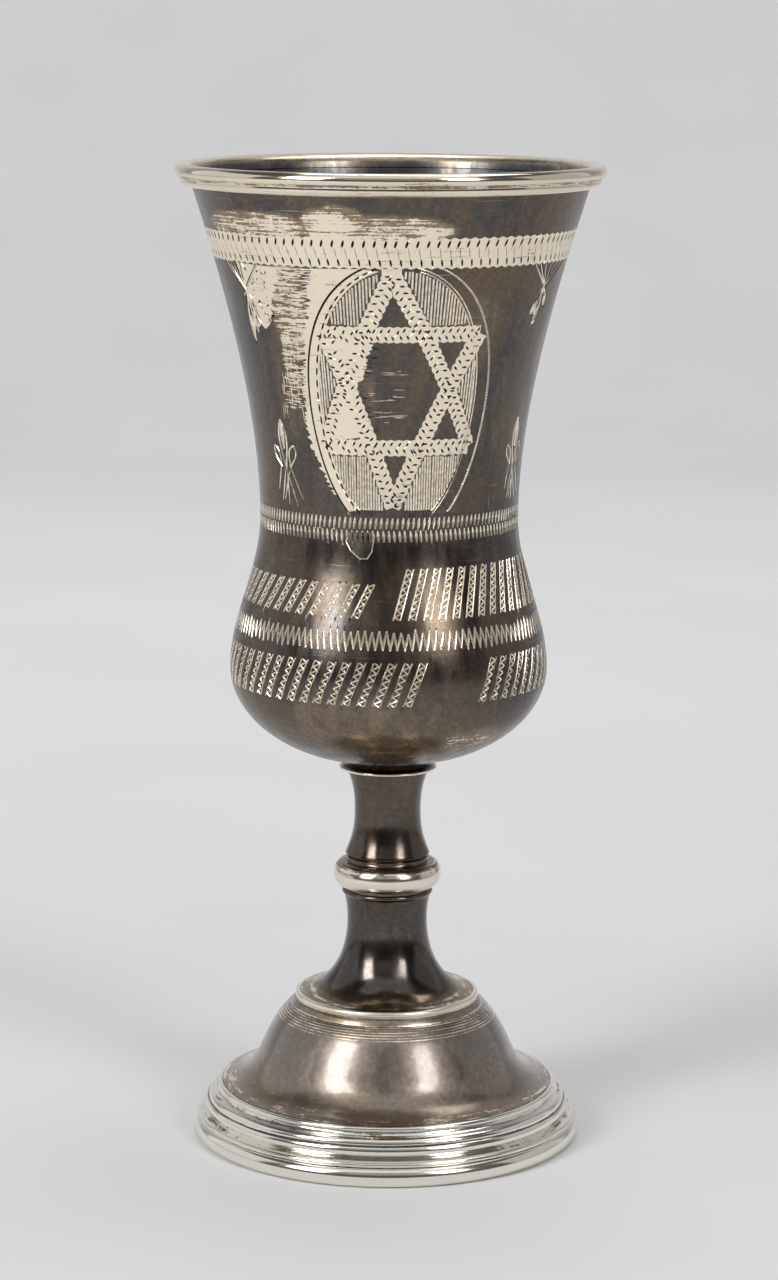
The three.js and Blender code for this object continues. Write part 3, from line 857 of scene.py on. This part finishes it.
def engraved_bowl(materials):
    points, normals, wear_and_painted_light, uv, depth, triangles, slots = engraved_wall(engraving())
    inside, inside_normals = inner_wall()
    axis = 0.02  # millimetres; the hole left on the axis, closed by the weld
    edge = np.stack([WALL[-1], inside[0]])
    floor = np.array([inside[-1], (axis, inside[-1][1])])
    seat = np.array([(axis, BOWL_BASE_Z), WALL[0]])
    parts = [(edge, np.array([(0, 1), (0, 1)]), INSIDE), (inside, inside_normals, INSIDE),
             (floor, np.array([(0, 1), (0, 1)]), INSIDE), (seat, np.array([(0, -1), (0, -1)]), PLAIN)]
    all_points, all_normals, all_uv = [points], [normals], [uv]
    all_triangles, all_slots, shift = [triangles], [slots], len(points)
    for outline, outline_normals, slot in parts:
        p, n, t, faces = net(outline.astype(float), outline_normals.astype(float))
        all_points.append(p)
        all_normals.append(n)
        all_uv.append(t)
        all_triangles.append(faces + shift)
        all_slots.append(np.full(len(faces), slot))
        shift += len(p)
    points, normals, uv = map(np.concatenate, (all_points, all_normals, all_uv))
    faces, slots = np.concatenate(all_triangles), np.concatenate(all_slots)
    near_axis = np.hypot(points[:, 0], points[:, 1]) < axis * 1.5
    points[near_axis, :2] = 0
    rubbed_below_lip = np.interp(points[len(wear_and_painted_light):, 2], (HEIGHT - 3.2, HEIGHT - 2), (0.0, 0.08))
    wear_and_painted_light = np.concatenate([wear_and_painted_light, rubbed_below_lip])
    carved = np.zeros(len(points), bool)
    carved[:len(depth)] = depth > 1e-4
    _, first, joined_to = np.unique(np.round(points / 5e-4).astype(np.int64), axis=0,
                                    return_index=True, return_inverse=True)
    corners = joined_to.ravel()[faces]
    sound = (corners != np.roll(corners, 1, axis=1)).all(1)
    corner_uv, corner_normals = uv[faces][sound], normals[faces][sound]
    in_cut = carved[faces].any(1)[sound]
    corners, slots = corners[sound], slots[sound]
    piece = mesh_piece("engraved_bowl", points[first], corners.tolist(), materials, slots,
                       wear_and_painted_light[first], corner_uv)
    flat = np.empty(len(corners) * 3, np.float32)
    piece.data.polygons.foreach_get("normal", flat)
    corner_normals[in_cut] = flat.reshape(-1, 1, 3)[in_cut]
    piece.data.shade_smooth()
    piece.data.normals_split_custom_set(corner_normals.reshape(-1, 3).tolist())
    return piece


# ---- the turned pieces ----
def rim_band(materials):
    """The reeded wire round the lip. Its inner face has the bowl's lining."""
    lip, reed = (28.25, HEIGHT - 0.95), (27.62, HEIGHT - 2.2)
    outline, wear_and_painted_light = joined(
        ([(26.75, 132.3), (27.1, 132.32)], 0.8),
        (bead((27.05, 132.62), 0.3, -80, 40), 1.0),
        ([(27.35, 132.86)], 0.1),
        (bead(reed, 0.85, -62, 14), 0.93),
        (bezier((28.48, HEIGHT - 1.85), (28.6, HEIGHT - 1.72), (28.8, HEIGHT - 1.62),
                (28.95, HEIGHT - 1.55), 6), 0.42),
        (bead(lip, 0.95, -36, 104, 22), 0.93),
    )
    inner = bezier((27.9, HEIGHT - 0.06), (27.2, HEIGHT - 0.2), (26.7, HEIGHT - 0.5),
                   (26.45, HEIGHT - 1.2), 12)
    last = [(26.3, HEIGHT - 1.9), (26.6, HEIGHT - 2.1)]
    slots = np.zeros(len(outline) + len(inner) + len(last), int)
    slots[len(outline) + 1:] = 1
    outline = np.concatenate([outline, inner, last])
    wear_and_painted_light = np.concatenate([wear_and_painted_light, np.linspace(1.0, 0.16, len(inner)), [0.1, 0.08]])
    return turned_piece("rim_reeded", outline, wear_and_painted_light, materials, slots)


def stem(materials):
    """The stem in one turned piece, its knop rubbed bright but for the top, which is darker partly from
    tarnish and partly as painted shade.
    """
    # painted shade: the knop's rubbed share falls towards its top, so the top reads dark over its real
    # brown tarnish
    tarnish_and_painted_shade_top = np.interp(np.arange(27), (0, 15, 20, 26), (0.95, 0.8, 0.45, 0.3))
    outline, wear_and_painted_light = joined(
        ([(ON_AXIS, 35.45), (5.6, 35.45)], 0.3),
        (arc((6.1, 37.25), 1.4, 1.8, -88, 88, 26), tarnish_and_painted_shade_top),
        ([(5.75, 39.1)], 0.1),
        (bezier((5.6, 39.3), (5.5, 39.5), (5.6, 39.8), (5.85, 40.1), 6), 0.2),
        (bezier((5.85, 40.15), (5.0, 42.2), (4.58, 43.6), (4.58, 46.2), 16), 0.12),
        (bezier((4.58, 46.2), (4.58, 49.0), (5.0, 50.4), (5.75, 52.1), 16)[1:], 0.12),
        ([(6.45, 52.15)], 0.5),
        (bead((6.6, 52.37), 0.22, -70, 70, 8), 0.95),
        ([(6.2, 52.62)], 0.3),
        (bezier((5.9, 52.75), (5.6, 53.1), (5.4, 53.5), (5.3, 54.1), 6), 0.08),
        ([(ON_AXIS, 54.1)], 0.0),
    )
    return turned_piece("turned_stem", outline, wear_and_painted_light, materials)


def turning_lines(count, between, along):
    """Rubbed-share values of fine lines left by turning: every third point is rubbed."""
    return np.where(np.arange(count) % 3 == 1, along, between)


def foot(materials):
    """The foot in one spun sheet; its materials are the stem's, the dome's and the mouldings'."""
    # painted light at the foot of the flare above the ridge bead: a higher rubbed share makes it paler
    # where it reflects the dark stem; the bright flecks in it are real wear
    ledge_flecks_and_painted_light = np.interp(np.arange(35), (0, 5, 14), (0.4, 0.36, 0.03))
    outline, wear_and_painted_light = joined(
        ([(24.9, 0.0), (25.9, 0.0)], 0.9),
        (arc((26.0, 1.33), 1.0, 1.33, -80, 74, 20), 1.0),
        ([(26.12, 2.66)], 0.0),
        (bead((26.08, 3.03), 0.34, -62, 88), 1.0),
        ([(25.75, 3.42), (25.3, 3.6)], 0.7),
        (bead((24.3, 4.5), 1.15, -42, 36), 0.95),
        ([(24.98, 5.27)], 0.05),
        (bead((24.15, 5.45), 0.78, 2, 62), 0.95),
        (bezier((24.4, 6.2), (24.0, 6.35), (23.7, 6.4), (23.55, 6.72), 5), 0.72),
        (bead((23.2, 7.12), 0.42, -40, 96), 1.0),
        ([(23.05, 7.56)], 0.0),
        # the cove at the dome's foot is paler towards the mouldings: real rubbed turning streaks, with a
        # painted highlight where it catches the ceiling light
        (bezier((22.95, 7.62), (20.2, 8.2), (18.7, 9.8), (17.7, 12.0), 20), np.linspace(0.41, 0.12, 21)),
        (bezier((17.7, 12.0), (16.9, 13.9), (16.1, 15.4), (15.2, 16.8), 12)[1:], 0.1),
        (bezier((15.2, 16.8), (14.7, 17.5), (14.2, 18.1), (13.6, 18.6), 18)[1:],
         turning_lines(18, 0.14, 0.62)),
        ([(13.45, 18.62), (13.35, 18.8)], 0.45),
        (bezier((13.3, 18.82), (13.2, 19.0), (13.05, 19.25), (12.85, 19.42), 5), 0.2),
        ([(12.72, 19.5)], 0.1),
        (bead((12.35, 20.0), 0.45, -40, 112), 1.0),
        ([(12.1, 20.42)], 0.1),
        (bezier((12.0, 20.42), (8.4, 21.0), (5.55, 25.0), (5.55, 30.6), 34), ledge_flecks_and_painted_light),
        (bezier((5.55, 30.6), (5.55, 32.4), (5.75, 33.4), (6.0, 34.3), 12)[1:], 0.03),
        (bead((5.98, 34.72), 0.32, -60, 70, 8), 0.12),
        ([(5.9, 35.1), (5.9, 35.6), (ON_AXIS, 35.6), (ON_AXIS, 33.6), (4.5, 33.6), (4.5, 29.0)], 0.2),
        (bezier((4.5, 29.0), (4.5, 22.6), (8.2, 20.6), (11.4, 18.6), 12)[1:], 0.15),
        (bezier((11.6, 18.4), (16.4, 15.0), (17.2, 9.0), (22.4, 6.6), 16), 0.15),
        ([(23.6, 4.4), (24.8, 2.6), (24.8, 0.3)], 0.3),
    )
    radius, height = outline[:, 0], outline[:, 1]
    slots = np.where((height > 20.4) | (radius < 12.0), 0, np.where(height > 7.6, 1, 2))
    return turned_piece("spun_foot", outline, wear_and_painted_light, materials, slots)


# ---- the finishes of each piece ----
TARNISHED = silver("tarnished silver")
BRIGHT = cut_metal("freshly cut silver", (0.90, 0.81, 0.68), 0.30)
DARK = cut_metal("blackened cut", (0.045, 0.038, 0.032), 0.5)
GROUND = silver("rubbed silver ground", bright=WORN_SILVER, breakup=0.75, hairlines=0.0, wear_and_painted_light=0.86)
LINING = silver("tarnished lining", dark=(0.06, 0.068, 0.082, 1), brown=(0.16, 0.125, 0.085, 1),
                thin=(0.34, 0.28, 0.20, 1), brownness=0.42, breakup=0.3, edge=0.3, hairlines=0.0,
                dark_lift=0.05, relief=0.05)
DRIP_MARK = silver("dried run", dark=(0.22, 0.20, 0.17, 1), brown=(0.26, 0.22, 0.18, 1), hairlines=0.0,
                   wear_and_painted_light=0.0)
STEM_SILVER = silver("tarnished stem", dark=(0.072, 0.070, 0.069, 1), brown=(0.137, 0.106, 0.082, 1),
                     bright=(0.88, 0.80, 0.69, 1), breakup=0.6, hairlines=0.15, bright_roughness=0.17,
                     dark_lift=-0.06, relief=0.08)
DOME_SILVER = silver("turned dome", dark=(0.16, 0.145, 0.135, 1), brown=(0.26, 0.21, 0.17, 1), breakup=0.55,
                     hairlines=0.9, bright_roughness=0.3, dark_lift=0.1, relief=0.2, coat=0.9)
MOULDED_SILVER = silver("polished mouldings", bright=POLISHED_SILVER, breakup=0.7, hairlines=0.0,
                        bright_roughness=0.15, relief=0.06)
RIM_SILVER = silver("bright rim", bright=(0.85, 0.76, 0.62, 1), breakup=0.9, hairlines=0.0,
                    bright_roughness=0.12, relief=0.06)

for piece, node_name, slot in (
        (engraved_bowl([TARNISHED, BRIGHT, DARK, GROUND, DRIP_MARK, LINING]), "bowl", "tarnished_silver"),
        (rim_band([RIM_SILVER, LINING]), "rim_band", "bright_silver"),
        (stem([STEM_SILVER]), "stem", "tarnished_silver"),
        (foot([STEM_SILVER, DOME_SILVER, MOULDED_SILVER]), "foot", "tarnished_silver")):
    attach(piece, "root")
    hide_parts(node_name)


# ---- floor, backdrop, light and camera ----
def plain_finish(name, colour, roughness):
    made, tree, shader = material(name)
    shade = ramp(tree, grain(tree, (9, 9, 9), 2.0), 0.3, 0.7, 0.98, 1.02)
    scaled = node(tree, "ShaderNodeVectorMath", {0: colour}, operation="SCALE")
    tree.links.new(shade, scaled.inputs["Scale"])
    tree.links.new(scaled.outputs[0], shader.inputs["Base Color"])
    shader.inputs["Roughness"].default_value = roughness
    return made


def sweep(name, depth_front, depth_back, bend, rise, half_width, finish):
    """A floor that curves up into a backdrop, seen from the front."""
    across = np.linspace(-half_width, half_width, 9)
    floor = [(-depth_front, 0.0), (0.0, 0.0), (depth_back, 0.0)]
    turn = np.radians(np.linspace(0, 90, 13))[1:]
    curve = [(depth_back + bend * math.sin(t), bend * (1 - math.cos(t))) for t in turn]
    line = floor + curve + [(depth_back + bend, bend + rise)]
    points = [(x, y, z) for y, z in line for x in across]
    columns = len(across)
    faces = [(r * columns + c, r * columns + c + 1, (r + 1) * columns + c + 1, (r + 1) * columns + c)
             for r in range(len(line) - 1) for c in range(columns - 1)]
    mesh = bpy.data.meshes.new(name)
    mesh.from_pydata(points, [], faces)
    mesh.materials.append(finish)
    mesh.shade_smooth()
    made = bpy.data.objects.new(name, mesh)
    bpy.context.scene.collection.objects.link(made)
    return made


def softbox(name, place, target, size, power):
    """A rectangular lamp at a place in metres, turned to its target; power is in watts."""
    light = bpy.data.lights.new(name, "AREA")
    light.shape = "RECTANGLE"
    light.size, light.size_y = size
    light.energy = power
    made = bpy.data.objects.new(name, light)
    made.location = place
    made.rotation_euler = (Vector(target) - Vector(place)).to_track_quat("-Z", "Y").to_euler()
    bpy.context.scene.collection.objects.link(made)
    return made


sweep("sweep_floor", 1.2, 0.7, 0.5, 1.2, 2.0, plain_finish("pale card", (0.72, 0.72, 0.725), 0.9))

MIDDLE = (0.0, 0.0, 0.07)
softbox("left_softbox", (-0.70, -0.62, 0.62), MIDDLE, (0.36, 0.52), 6.2)
softbox("right_softbox", (0.62, -0.74, 0.62), MIDDLE, (0.30, 0.46), 3.6)
softbox("top_softbox", (0.1, 0.3, 1.0), MIDDLE, (0.8, 0.5), 3.2)
softbox("backdrop_light", (0.0, 0.3, 0.66), (0.0, 1.1, 0.34), (1.4, 0.25), 2.5)
softbox("ceiling_panel", (0.0, -0.45, 1.15), MIDDLE, (1.5, 0.9), 2.8)
softbox("front_panel", (0.0, -0.95, 0.62), MIDDLE, (0.9, 0.36), 0.25)
softbox("left_panel", (-1.0, 0.25, 0.45), MIDDLE, (1.1, 0.85), 1.7)
softbox("right_panel", (1.0, 0.25, 0.45), MIDDLE, (1.1, 0.85), 1.1)

world = bpy.data.worlds.new("studio")
world.use_nodes = True
world.node_tree.nodes["Background"].inputs["Color"].default_value = (0.95, 0.96, 1.0, 1)
world.node_tree.nodes["Background"].inputs["Strength"].default_value = 0.08
bpy.context.scene.world = world
bpy.context.scene.view_settings.view_transform = "Standard"

VIEW_SIDE, VIEW_DISTANCE, VIEW_HEIGHT = 0.00006, 0.50223, 0.1604  # metres
VIEW_PITCH, VIEW_ROLL = 10.2, 0.3  # degrees
SENSOR_HEIGHT, FOCAL_LENGTH = 24.0, 69.375
lens_data = bpy.data.cameras.new("view")
lens_data.sensor_fit = "VERTICAL"
lens_data.sensor_height = SENSOR_HEIGHT
lens_data.lens = FOCAL_LENGTH
lens_data.clip_start, lens_data.clip_end = 0.01, 20.0
camera = bpy.data.objects.new("view", lens_data)
camera.location = (VIEW_SIDE, -VIEW_DISTANCE, VIEW_HEIGHT)
camera.rotation_euler = (math.radians(90 - VIEW_PITCH), 0.0, 0.0)
camera.rotation_euler.rotate_axis("Z", math.radians(VIEW_ROLL))
bpy.context.scene.collection.objects.link(camera)
bpy.context.scene.camera = camera
